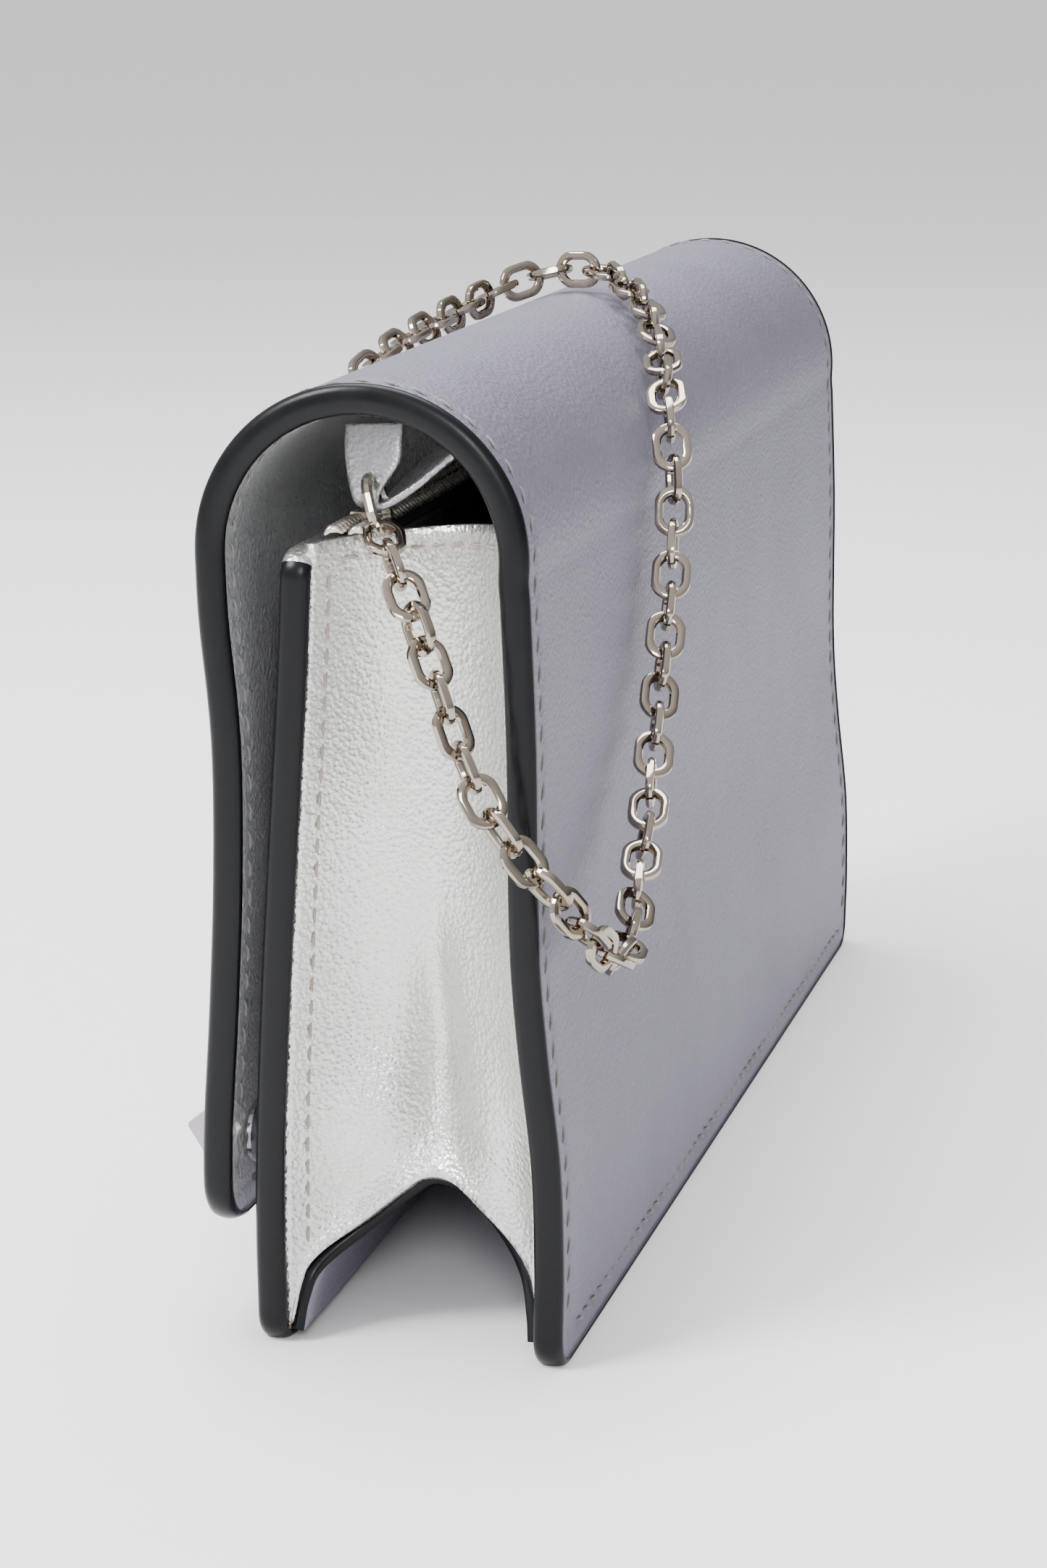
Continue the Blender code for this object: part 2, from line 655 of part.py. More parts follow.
def place_pieces():
    """Puts the origin under the wallet's middle and hangs each moving piece on its joint."""
    base = bpy.data.objects.new("wallet_origin", None)
    bpy.data.collections["chain_wallet"].objects.link(base)
    base.location = (0, SHIFT_Y * MM, 0)
    pieces = [thing for thing in bpy.data.objects if thing.type != "EMPTY"]
    for thing in pieces:
        thing.parent = base
    kept = bpy.data.collections["chain_wallet"].objects
    names = [thing.name for thing in pieces if thing.name in kept]
    flap = [name for name in names if name.startswith(("flap_", "stud_cap", "snap_socket", "chain_swag"))]
    front = [name for name in names if name.startswith(("front_", "zip_tape", "zip_coil", "zip_stop"))]
    front += [name for name in names if name.startswith(("snap_ball", "snap_rivet"))] + ["pocket_divider"]
    pivot("flap_hinge_axis", (0, *FLAP_FACE[0]), flap, base)
    pivot("front_squeeze_axis", (0, FRONT_FACE[0][0], 0), front, base)
    pivot("zip_slide_axis", (SLIDER_X, ZIP_Y, ZIP_Z), ["zip_slider"], base)
    pivot("zip_pull_axis", (SLIDER_X, ZIP_Y, ZIP_Z + PULL_PIN_HEIGHT), ["zip_pull"], base)


def main():
    """Builds the whole wallet."""
    for thing in list(bpy.data.objects):
        bpy.data.objects.remove(thing)
    for name in ("chain_wallet", "cutters"):
        bpy.context.scene.collection.children.link(bpy.data.collections.new(name))
    make_materials()
    make_shell()
    make_flap()
    make_front()
    make_gussets()
    make_bottom()
    make_divider()
    make_card_slots()
    make_zip()
    make_slider()
    make_snaps()
    make_tabs()
    make_chain()
    place_pieces()


main()
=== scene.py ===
import math

import bmesh
import bpy
import numpy as np
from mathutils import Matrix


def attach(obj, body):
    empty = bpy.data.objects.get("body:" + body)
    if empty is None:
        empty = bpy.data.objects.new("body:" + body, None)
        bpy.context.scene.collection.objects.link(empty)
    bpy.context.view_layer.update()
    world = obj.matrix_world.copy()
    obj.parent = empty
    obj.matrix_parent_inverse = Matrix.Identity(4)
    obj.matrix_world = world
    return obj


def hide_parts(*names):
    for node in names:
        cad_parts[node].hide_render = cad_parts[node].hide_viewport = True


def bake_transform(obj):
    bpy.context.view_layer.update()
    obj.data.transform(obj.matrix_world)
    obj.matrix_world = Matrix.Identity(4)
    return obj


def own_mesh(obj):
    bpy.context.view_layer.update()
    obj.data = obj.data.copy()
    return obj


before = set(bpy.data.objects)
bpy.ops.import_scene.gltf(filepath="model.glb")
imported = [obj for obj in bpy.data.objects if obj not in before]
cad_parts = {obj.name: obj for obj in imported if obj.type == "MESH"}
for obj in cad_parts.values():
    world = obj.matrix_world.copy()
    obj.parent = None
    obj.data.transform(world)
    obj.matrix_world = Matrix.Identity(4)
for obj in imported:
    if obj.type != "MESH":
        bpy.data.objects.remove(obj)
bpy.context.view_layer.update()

# Lengths are in millimetres until a mesh is made. SHIFT_Y moves the sections onto the frame's origin.
MM = 0.001
SHIFT_Y = 6.04
LENGTH = 190.0
HALF = LENGTH / 2
ROLL_CENTRE = (-5.4, 95.2)
ROLL_RADIUS = 19.6
PANEL = 3.4
STITCH_PITCH = 3.4
STITCH_INSET = 3.3
# The part of a stitch that stays hidden at each end, how far it leans, and the threads' radii.
STITCH_GAP = 0.14
STITCH_SLANT = 0.22
SEAM_THREAD = 0.21
GUSSET_THREAD = 0.19
PANEL_HALF = HALF - 0.6

# Sections as (y, z) points: the panels' outer faces, and the line of the folded bottom.
BACK_FACE = [
    (18.2, 0.0), (18.2, 5.0), (18.3, 12.0), (17.9, 25.0), (16.3, 39.0), (15.3, 52.0), (15.0, 74.0),
    (14.3, 91.0),
]
FLAP_FACE = [
    (-25.0, 94.8), (-24.7, 87.0), (-23.5, 73.0), (-23.6, 57.0), (-24.4, 41.0), (-25.4, 26.0),
    (-25.6, 14.0),
]
FRONT_FACE = [
    (-19.0, 0.0), (-19.0, 5.0), (-19.1, 13.0), (-18.9, 25.0), (-18.0, 43.0), (-16.9, 60.0),
    (-15.5, 80.0), (-14.7, 95.2),
]
BOTTOM_LINE = [
    (-15.0, 1.6), (-14.4, 5.6), (-12.9, 9.4), (-7.6, 13.9), (-2.6, 18.2), (0.2, 19.9), (4.0, 19.2),
    (9.8, 15.2), (13.8, 10.8), (14.9, 6.0), (15.1, 3.0),
]

# The chain's centreline: the stretches of the CAD model, and the short joins between them.
LOOP_ROUTE = [
    (92.8, -2.8, 96.4), (95.6, 0.0, 92.4), (97.8, 2.6, 87.6), (99.6, 5.4, 81.5),
    (100.6, 8.2, 74.5), (101.3, 11.4, 68.5), (101.4, 15.5, 63.2), (99.6, 19.6, 58.0),
    (95.0, 22.2, 52.6), (88.0, 23.0, 48.9), (79.0, 22.4, 48.8), (69.5, 21.2, 53.4),
    (60.5, 20.2, 59.4), (53.0, 19.2, 66.0), (45.5, 18.5, 75.5), (39.0, 18.0, 85.4),
    (35.5, 17.5, 94.0), (32.5, 16.3, 101.4), (26.5, 14.2, 106.6), (17.7, 11.5, 110.3),
    (6.2, 6.9, 114.3), (-5.0, 0.0, 117.1), (-7.8, -4.1, 117.8), (-8.2, -9.2, 117.5),
    (-6.1, -13.9, 116.1), (-1.0, -17.2, 114.5), (9.0, -19.6, 112.8), (20.0, -21.4, 111.2),
    (30.0, -23.4, 108.9), (38.0, -25.8, 105.0), (43.6, -27.7, 100.6),
]
SWAG_ROUTE = [
    (51.0, -28.2, 88.8), (58.5, -27.9, 80.5), (63.3, -27.0, 70.0), (64.0, -26.9, 58.0),
    (58.5, -27.5, 46.5), (47.0, -28.1, 37.0), (30.0, -28.5, 31.0), (10.0, -28.6, 29.0),
    (-10.0, -28.5, 31.0), (-30.0, -28.1, 36.5), (-49.0, -27.4, 45.5), (-65.0, -26.9, 57.0),
    (-77.0, -27.0, 70.0), (-84.5, -27.8, 81.0), (-87.5, -28.3, 88.6),
]
RETURN_ROUTE = [
    (-94.0, -28.5, 101.2), (-97.0, -27.9, 102.7), (-101.5, -25.5, 103.6), (-105.2, -20.5, 103.0),
    (-105.5, -14.5, 101.5), (-103.0, -9.4, 99.6), (-99.2, -5.6, 97.6), (-94.6, -3.4, 96.0),
]
START_JOIN = [(89.9, -4.0, 97.9)]
END_JOIN = [(-89.9, -4.0, 97.9)]
SWAG_START_JOIN = [(43.6, -27.7, 100.6), (46.8, -28.6, 94.6)]
SWAG_END_JOIN = [(-90.2, -28.6, 95.0), (-94.0, -28.5, 101.2)]
CHAIN_WIDTH = 5.4
LINK_LENGTH = 6.6
LINK_WIRE = 1.3
LINK_PITCH = 4.1
LINK_TILT = 16
LINK_FLATS = (0.20, 0.13)


# Camera, light and floor

CAMERA_PLACE = (0.47767, 0.12197, 0.1661)
CAMERA_AZIMUTH = 104.95
CAMERA_ELEVATION = 13.57
FOCAL_SHARE = 5012 / 1445
# The room's light grows from the first strength to the second towards its bright side.
BRIGHT_SIDE = (0.42, -0.42, 0.80)
ROOM_STRENGTHS = (0.06, 1.45)
DARK_BELOW = -0.6
# Each light's name, place, target, size and power.
LIGHTS = [
    ("key", (0.50, -0.45, 0.70), (0.05, 0, 0.06), 0.30, 10.0),
    ("fill", (0.80, 0.20, 0.42), (0.09, 0, 0.05), 0.22, 3.0),
    ("top", (-0.15, -0.1, 0.9), (0, 0, 0.1), 0.6, 12.5),
]
FLOOR_SIZE = 25


def make_camera():
    """The camera, nearly end-on and a little above."""
    data = bpy.data.cameras.new("camera")
    data.sensor_fit = "HORIZONTAL"
    data.sensor_width = 36
    data.lens = 36 * FOCAL_SHARE
    data.clip_start = 0.01
    camera = bpy.data.objects.new("camera", data)
    camera.location = CAMERA_PLACE
    camera.rotation_euler = (math.radians(90 - CAMERA_ELEVATION), 0, math.radians(CAMERA_AZIMUTH))
    bpy.context.scene.collection.objects.link(camera)
    bpy.context.scene.camera = camera


def area_light(name, place, target, size, power):
    """A soft square light that faces a point."""
    data = bpy.data.lights.new(name, "AREA")
    data.size = size
    data.energy = power
    light = bpy.data.objects.new(name, data)
    light.location = place
    aim = np.array(target) - np.array(place)
    tilt = math.atan2(math.hypot(aim[0], aim[1]), -aim[2])
    light.rotation_euler = (tilt, 0, math.atan2(-aim[0], aim[1]))
    bpy.context.scene.collection.objects.link(light)


def make_light():
    """A pale room that is brighter on the camera's side, and three soft lights."""
    world = bpy.data.worlds.new("studio")
    world.use_nodes = True
    bpy.context.scene.world = world
    tree = world.node_tree
    back = tree.nodes["Background"]
    back.inputs["Color"].default_value = (1.0, 1.0, 1.01, 1)
    where = tree.nodes.new("ShaderNodeTexCoord")
    facing = tree.nodes.new("ShaderNodeVectorMath")
    facing.operation = "DOT_PRODUCT"
    facing.inputs[1].default_value = BRIGHT_SIDE
    level = tree.nodes.new("ShaderNodeMapRange")
    level.inputs["From Min"].default_value = DARK_BELOW
    level.inputs["To Min"].default_value = ROOM_STRENGTHS[0]
    level.inputs["To Max"].default_value = ROOM_STRENGTHS[1]
    tree.links.new(where.outputs["Generated"], facing.inputs[0])
    tree.links.new(facing.outputs["Value"], level.inputs["Value"])
    tree.links.new(level.outputs["Result"], back.inputs["Strength"])
    for light in LIGHTS:
        area_light(*light)


def make_floor():
    """A plain pale floor."""
    bm = bmesh.new()
    bmesh.ops.create_grid(bm, x_segments=1, y_segments=1, size=FLOOR_SIZE)
    mesh = bpy.data.meshes.new("floor")
    bm.to_mesh(mesh)
    bm.free()
    floor = bpy.data.objects.new("floor", mesh)
    bpy.context.scene.collection.objects.link(floor)
    mesh.materials.append(FINISH["floor"])


# Materials

BLOTCH_SCALE = 60.0
BLOTCH_SHARE = 0.4
WEAVE_HEIGHT = 0.00008


def material(name, colour, roughness, metallic=0.0, grain=(900.0, 0.0), cells=(0.0, 0.0), mottle=0.06,
             rough_spread=0.08, sheen=0.0, weave=0.0, specular=0.5):
    """A procedural material: mottled colour, uneven roughness, and bump from grain, cells or a weave.

    grain and cells are (scale per metre, bump height in metres)."""
    finish = bpy.data.materials.new(name)
    finish.use_nodes = True
    tree = finish.node_tree
    shader = tree.nodes["Principled BSDF"]
    shader.inputs["Metallic"].default_value = metallic
    shader.inputs["Specular IOR Level"].default_value = specular
    shader.inputs["Sheen Weight"].default_value = sheen
    where = tree.nodes.new("ShaderNodeTexCoord").outputs["Object"]

    def noise(scale, detail):
        node = tree.nodes.new("ShaderNodeTexNoise")
        node.inputs["Scale"].default_value = scale
        node.inputs["Detail"].default_value = detail
        tree.links.new(where, node.inputs["Vector"])
        return node.outputs["Fac"]

    def spread(source, low, high):
        node = tree.nodes.new("ShaderNodeMapRange")
        node.inputs["From Min"].default_value = 0.3
        node.inputs["From Max"].default_value = 0.7
        node.inputs["To Min"].default_value = low
        node.inputs["To Max"].default_value = high
        tree.links.new(source, node.inputs["Value"])
        return node.outputs["Result"]

    blotch = noise(BLOTCH_SCALE, 6.0)
    fine = noise(grain[0], 4.0)
    mix = tree.nodes.new("ShaderNodeMix")
    mix.data_type = "RGBA"
    mix.inputs["A"].default_value = (*[c * (1 - mottle) for c in colour], 1)
    mix.inputs["B"].default_value = (*[min(1.0, c * (1 + mottle)) for c in colour], 1)
    both = tree.nodes.new("ShaderNodeMath")
    both.operation = "ADD"
    tree.links.new(spread(blotch, 0.0, BLOTCH_SHARE), both.inputs[0])
    tree.links.new(spread(fine, 0.0, 1 - BLOTCH_SHARE), both.inputs[1])
    tree.links.new(both.outputs[0], mix.inputs["Factor"])
    tree.links.new(mix.outputs["Result"], shader.inputs["Base Color"])
    uneven = spread(fine, roughness - rough_spread, roughness + rough_spread)
    tree.links.new(uneven, shader.inputs["Roughness"])

    normal = None

    def bump(source, height):
        node = tree.nodes.new("ShaderNodeBump")
        node.inputs["Strength"].default_value = 1.0
        node.inputs["Distance"].default_value = height
        tree.links.new(source, node.inputs["Height"])
        if normal is not None:
            tree.links.new(normal, node.inputs["Normal"])
        return node.outputs["Normal"]

    if grain[1]:
        normal = bump(fine, grain[1])
    if cells[1]:
        voronoi = tree.nodes.new("ShaderNodeTexVoronoi")
        voronoi.feature = "F1"
        voronoi.inputs["Scale"].default_value = cells[0]
        tree.links.new(where, voronoi.inputs["Vector"])
        normal = bump(voronoi.outputs["Distance"], cells[1])
    if weave:
        for direction in ("X", "Z"):
            wave = tree.nodes.new("ShaderNodeTexWave")
            wave.bands_direction = direction
            wave.inputs["Scale"].default_value = weave
            wave.inputs["Distortion"].default_value = 0.6
            tree.links.new(where, wave.inputs["Vector"])
            normal = bump(wave.outputs["Fac"], WEAVE_HEIGHT)
    if normal is not None:
        tree.links.new(normal, shader.inputs["Normal"])
    return finish


FINISH = {
    # The panels' silver and the paler, more metallic silver after it are one leather in a shaded and a lit
    # copy: the darker one is painted shade on the panels, the paler one painted light on the gussets and the
    # front panel's turned top rim.
    "silver": material(
        "silver_leather", (0.20, 0.19, 0.245), 0.54, 0.50, (2100, 0.00008), (1500, 0.00011), 0.12, 0.08,
        specular=0.3),
    "lit_silver": material(
        "bright_silver_leather", (0.64, 0.64, 0.625), 0.29, 0.92, (2600, 0.00008), (1700, 0.00012),
        0.10, 0.08),
    "tab": material(
        "tab_leather", (0.34, 0.34, 0.355), 0.32, 0.88, (2600, 0.00005), (1700, 0.00008), 0.1, 0.08),
    # The lining is the shell's silver leather made much paler: painted light on an inner face that lies in
    # shade.
    "lining": material(
        "silver_lining", (0.58, 0.59, 0.59), 0.40, 0.6, (1900, 0.00014), (1600, 0.00016), 0.16, 0.14),
    "edge": material(
        "edge_paint", (0.0022, 0.0024, 0.0036), 0.31, 0.0, (260, 0.00004), (0, 0), 0.2, 0.05,
        specular=0.20),
    "seam": material("seam_thread", (0.20, 0.185, 0.185), 0.7, 0.3, (4200, 0.00005), (0, 0), 0.25, sheen=0.2),
    "thread": material("thread", (0.30, 0.25, 0.215), 0.8, 0.0, (4200, 0.00005), (0, 0), 0.25, sheen=0.2),
    "raw": material("raw_leather_edge", (0.13, 0.065, 0.032), 0.9, 0.0, (1500, 0.0003), (0, 0), 0.55),
    "fabric": material(
        "black_fabric", (0.010, 0.010, 0.012), 0.85, 0.0, (2500, 0.00003), (0, 0), 0.3, weave=900.0),
    # The chain's metal colour is darkened as painted shade, standing in for dark reflections that the pale
    # room does not give.
    "chain": material(
        "chain_metal", (0.335, 0.288, 0.238), 0.08, 1.0, (420, 0.00001), (0, 0), 0.03, 0.03),
    # The studs' lilac tint is a painted reflection of the lavender leather around them.
    "stud": material("stud_metal", (0.34, 0.30, 0.36), 0.30, 0.9, (900, 0.00003), (0, 0), 0.06, 0.06),
    "bright": material("bright_metal", (0.74, 0.72, 0.70), 0.16, 1.0, (380, 0.00001), (0, 0), 0.03, 0.05),
    # The coil's metal is made paler as painted light, since the coil lies in the roll's shade.
    "coil": material("coil_metal", (0.62, 0.56, 0.48), 0.26, 0.9, (900, 0.00001), (0, 0), 0.08, 0.06),
    "floor": material("floor_paper", (0.92, 0.92, 0.92), 0.85, 0.0, (300, 0.00002), (0, 0), 0.01),
}


# Mesh helpers


def smooth(points, steps=4):
    """Points along a Catmull-Rom curve through the given ones."""
    p = np.array(points, float)
    ends = [2 * p[0] - p[1], *p, 2 * p[-1] - p[-2]]
    out = []
    for a, b, c, d in zip(ends, ends[1:], ends[2:], ends[3:]):
        for k in range(steps):
            t = k / steps
            square = (2 * a - 5 * b + 4 * c - d) * t**2
            cube = (3 * b - a - 3 * c + d) * t**3
            out.append(0.5 * (2 * b + (c - a) * t + square + cube))
    out.append(p[-1])
    return np.array(out)


def lengths(line):
    """The distance run at each point of a line."""
    return np.concatenate([[0], np.cumsum(np.linalg.norm(np.diff(line, axis=0), axis=1))])


def evenly(line, spacing):
    """The line again, with points about that spacing apart."""
    run = lengths(line)
    at = np.linspace(0, run[-1], max(2, round(run[-1] / spacing) + 1))
    return np.stack([np.interp(at, run, line[:, k]) for k in range(line.shape[1])], axis=1)


def roll_arc(start, end, steps):
    """Points round the roll: 0 degrees faces +Y and 180 degrees faces -Y."""
    angles = np.radians(np.linspace(start, end, steps + 1))
    return np.array(ROLL_CENTRE) + ROLL_RADIUS * np.stack([np.cos(angles), np.sin(angles)], 1)


def face_y(face, z, depth=0.0):
    """The y of a panel's outer face at height z, moved by a depth along Y."""
    line = smooth(face, 6)
    order = np.argsort(line[:, 1])
    return float(np.interp(z, line[order, 1], line[order, 0])) + depth


def to_object(name, points, faces, finishes, face_finish=None):
    """An object from points in millimetres and faces, with smooth shading."""
    points = np.array(points, float) + (0, SHIFT_Y, 0)
    mesh = bpy.data.meshes.new(name)
    mesh.from_pydata((points * MM).tolist(), [], faces)
    for finish in finishes:
        mesh.materials.append(FINISH[finish])
    if face_finish is not None:
        mesh.polygons.foreach_set("material_index", face_finish)
    mesh.shade_smooth()
    thing = bpy.data.objects.new(name, mesh)
    bpy.context.scene.collection.objects.link(thing)
    return thing


def face_out(thing):
    """Turns a closed mesh's faces to point out."""
    bm = bmesh.new()
    bm.from_mesh(thing.data)
    bmesh.ops.recalc_face_normals(bm, faces=bm.faces)
    bm.to_mesh(thing.data)
    bm.free()


def border(rows, count):
    """The places round the edge of a grid, in order, as (row, column)."""
    ring = [(0, j) for j in range(count)] + [(i, count - 1) for i in range(1, rows)]
    ring += [(rows - 1, j) for j in range(count - 2, -1, -1)] + [(i, 0) for i in range(rows - 2, 0, -1)]
    return ring


def wall_faces(rows, count, outer, inner, rim):
    """The faces of a closed wall of two grids of points, and which finish each one has."""
    size = rows * count
    faces, finish = [], []
    for i in range(rows - 1):
        for j in range(count - 1):
            a = i * count + j
            b = a + size
            faces.append((a, a + 1, a + 1 + count, a + count))
            faces.append((b, b + count, b + 1 + count, b + 1))
            finish += [outer, inner]
    ring = [i * count + j for i, j in border(rows, count)]
    for a, b in zip(ring, ring[1:] + ring[:1]):
        faces.append((a, a + size, b + size, b))
        finish.append(rim)
    return faces, finish


class Sheet:
    """A panel's outer face: a section line in y and z, run along X, with depth counted inwards."""

    def __init__(self, section, spacing=0.8):
        self.line = evenly(section, spacing)
        self.run = lengths(self.line)
        along = np.gradient(self.line, axis=0)
        self.along = along / np.linalg.norm(along, axis=1)[:, None]

    def length(self):
        return self.run[-1]

    def at(self, s, x, depth):
        """The place at a run, an x and a depth. A run past either end carries straight on."""
        inside = min(max(s, 0.0), self.run[-1])
        place = [np.interp(inside, self.run, self.line[:, k]) for k in (0, 1)]
        along = np.array([np.interp(inside, self.run, self.along[:, k]) for k in (0, 1)])
        along /= np.linalg.norm(along)
        y, z = place + along * (s - inside) + depth * np.array([along[1], -along[0]])
        return (x, y, z)


def corner_inset(distance, radius):
    """How far a rounded corner cuts in, at a distance from the panel's edge."""
    if distance >= radius:
        return 0.0
    return radius - math.sqrt(radius**2 - (radius - distance) ** 2)


# The grid is finer near a panel's edge, and BEAD is the painted edge's outline as (outwards, depth).
EDGE_STEPS = (0.0, 0.5, 1.0, 1.6, 2.2, 2.7, 3.2, 3.7, 4.3, 5.2, 6.6, 9.0)
EDGE_ZONE = EDGE_STEPS[-1]
GRID_SPACING = 0.85
GRID_ACROSS = 46
EDGE_DROP = 0.22
TURNED_RUN = 1.2
BEAD = [
    (-0.30, -0.10), (0.05, -0.02), (0.40, 0.32), (0.62, 0.85), (0.72, 1.7), (0.62, 2.55), (0.40, 3.08),
    (0.05, 3.42), (-0.30, 3.50),
]


def pucker(s, edge):
    """How far the seam's stitches pull the face in, at a run and a distance from the edge."""
    groove = math.exp(-(((edge - STITCH_INSET) / 0.9) ** 2))
    return groove * (0.16 + 0.13 * math.cos(2 * math.pi * s / STITCH_PITCH))


def panel(name, sheet, half, start_radius, end_radius, inner, turned_end=False):
    """A leather panel: an outer and an inner face, and a rounded painted edge all round."""
    total = sheet.length()
    edge_runs = list(EDGE_STEPS)
    steps = round((total - 2 * EDGE_ZONE) / GRID_SPACING) + 1
    middle = list(np.linspace(EDGE_ZONE, total - EDGE_ZONE, steps))[1:-1]
    runs = edge_runs + middle + [total - e for e in reversed(edge_runs)]
    inner_x = list(np.linspace(-half + EDGE_ZONE, half - EDGE_ZONE, GRID_ACROSS))[1:-1]
    columns = [-half + e for e in edge_runs] + inner_x + [half - e for e in reversed(edge_runs)]
    plan = []
    for s in runs:
        inset = corner_inset(s, start_radius) + corner_inset(total - s, end_radius)
        plan.append([(s, x * (half - inset) / half) for x in columns])
    rows, count = len(runs), len(columns)
    points, faces, finish = [], [], []
    for side, depth in ((0, 0.0), (1, PANEL)):
        base = len(points)
        for row in plan:
            for s, x in row:
                edge = min(s, total - s, half - abs(x))
                pull = pucker(s if half - abs(x) <= min(s, total - s) else x, edge)
                drop = EDGE_DROP * math.exp(-((edge / 1.4) ** 2))
                d = pull + drop
                points.append(sheet.at(s, x, depth + (d if side == 0 else -d)))
        for i in range(rows - 1):
            for j in range(count - 1):
                a = base + i * count + j
                quad = (a, a + 1, a + 1 + count, a + count)
                faces.append(quad if side else quad[::-1])
                finish.append(0 if side == 0 else 1)
    ring = border(rows, count)
    flat = np.array([plan[i][j] for i, j in ring])
    tangent = np.roll(flat, -1, axis=0) - np.roll(flat, 1, axis=0)
    tangent /= np.linalg.norm(tangent, axis=1)[:, None]
    outward = np.stack([-tangent[:, 1], tangent[:, 0]], axis=1)
    middle_point = np.array([total / 2, 0.0])
    if ((flat - middle_point) * outward).sum() < 0:
        outward = -outward
    loops = [[i * count + j for i, j in ring]]
    for e, depth in BEAD:
        base = len(points)
        for (s, x), (ns, nx) in zip(flat, outward):
            points.append(sheet.at(s + ns * e, x + nx * e, depth))
        loops.append(list(range(base, base + len(ring))))
    loops.append([rows * count + i * count + j for i, j in ring])
    size = len(ring)
    for low, high in zip(loops, loops[1:]):
        for k in range(size):
            m = (k + 1) % size
            faces.append((low[k], high[k], high[m], low[m]))
            # The turned top rim takes the paler copy of the silver leather, painted light where it faces the
            # lamps.
            finish.append(3 if turned_end and flat[k][0] > total - TURNED_RUN else 2)
    thing = to_object(name, points, faces, ("silver", inner, "edge", "lit_silver"), finish)
    face_out(thing)
    return thing


def add_capsules(points, faces, starts, ends, normals, radius, sides=6):
    """Adds a short rounded thread between each start and end, bowed out along its normal."""
    profile = [(0.0, 0.25), (0.12, 0.8), (0.32, 1.0), (0.68, 1.0), (0.88, 0.8), (1.0, 0.25)]
    for start, end, normal in zip(starts, ends, normals):
        start, end, normal = np.array(start), np.array(end), np.array(normal)
        along = (end - start) / np.linalg.norm(end - start)
        normal = normal - along * normal.dot(along)
        normal /= np.linalg.norm(normal)
        across = np.cross(along, normal)
        base = len(points)
        for t, scale in profile:
            centre = start + (end - start) * t + normal * radius * (1.3 * math.sin(math.pi * t) - 0.5)
            for k in range(sides):
                a = 2 * math.pi * k / sides
                points.append(centre + (normal * math.cos(a) + across * math.sin(a)) * radius * scale)
        for ring in range(len(profile) - 1):
            for k in range(sides):
                m = (k + 1) % sides
                a, b = base + ring * sides, base + (ring + 1) * sides
                faces.append((a + k, a + m, b + m, b + k))
        faces.append(tuple(base + k for k in reversed(range(sides))))
        faces.append(tuple(base + (len(profile) - 1) * sides + k for k in range(sides)))


def seam_lines(total):
    """The seam's path round a panel's plan: both sides, then the start and the end."""
    lines = []
    s0 = STITCH_INSET
    s1 = total - STITCH_INSET
    for side in (-1, 1):
        runs = np.arange(s0 + 1.0, s1 - 1.0, STITCH_PITCH)
        lines.append([(s, side * (PANEL_HALF - STITCH_INSET)) for s in runs])
    for s in (s0, s1):
        places = np.arange(-PANEL_HALF + s0 + 1.5, PANEL_HALF - s0 - 1.5, STITCH_PITCH)
        lines.append([(s, x) for x in places])
    return lines


def stitches(name, sheet, sides=("outer", "inner")):
    """Stitches round a panel, on the outer and inner faces."""
    points, faces = [], []
    gap = STITCH_GAP
    for side in sides:
        starts, ends, normals = [], [], []
        depth = 0.10 if side == "outer" else PANEL - 0.10
        for line in seam_lines(sheet.length()):
            for (s0, x0), (s1, x1) in zip(line, line[1:]):
                ds, dx = s1 - s0, x1 - x0
                size = math.hypot(ds, dx)
                ns, nx = -dx / size * STITCH_SLANT, ds / size * STITCH_SLANT
                a = sheet.at(s0 + ds * gap - ns, x0 + dx * gap - nx, depth)
                b = sheet.at(s1 - ds * gap + ns, x1 - dx * gap + nx, depth)
                out = np.array(sheet.at(s0, x0, -1.0)) - np.array(sheet.at(s0, x0, 0.0))
                starts.append(a)
                ends.append(b)
                normals.append(out if side == "outer" else -out)
        add_capsules(points, faces, starts, ends, normals, SEAM_THREAD)
    return to_object(name, points, faces, ("seam",))


# The shell: back, roll and flap in one strap


def flap_blend(piece):
    """Bakes the piece's place into its mesh, on no body."""
    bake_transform(piece)


def make_shell():
    """The strap from the flap's lower edge, over the roll and down the back."""
    flap = smooth(FLAP_FACE, 6)[::-1]
    back = smooth(BACK_FACE, 6)[::-1]
    sheet = Sheet(np.concatenate([flap, roll_arc(180, -6, 40), back]))
    strap = panel("shell_strap", sheet, PANEL_HALF, 6.0, 4.0, "lining")
    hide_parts("shell_leather", "shell_stiffener", "shell_lining", "flap_leather", "flap_stiffener",
                "flap_lining")
    flap_blend(strap)
    flap_blend(stitches("shell_stitches", sheet))


def make_front():
    """The front panel, with its leather turned over the top edge."""
    sheet = Sheet(smooth(FRONT_FACE, 6))
    front = panel("front_panel", sheet, PANEL_HALF, 4.0, 2.5, "fabric", turned_end=True)
    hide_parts("front_leather", "front_stiffener", "front_lining")
    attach(front, "front_pocket")
    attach(stitches("front_stitches", sheet, ("outer",)), "front_pocket")


# Gussets and bottom

GUSSET_TOP_FRONT = 96.3
GUSSET_TOP_BACK = 99.2
GUSSET_WALL = 1.4
END_GAP = 1.3
CURL_HEIGHT = 0.09
CURL_DEPTH = 2.1
# The crease over the fold's ridge and the swells beside it: depth, share and its spread, z and its spread.
GUSSET_DENTS = [
    (3.0, 0.56, 0.10, 38.0, 12.0),
    (-1.9, 0.34, 0.16, 26.0, 8.0),
    (-1.7, 0.78, 0.12, 25.0, 10.0),
]


def recess(share, height):
    """How far the gusset's surface is set in from the panels' ends."""
    trough = 1 - abs(2 * share - 1) ** 2.4
    return (6.4 + 1.2 * (1 - height) ** 2) * trough


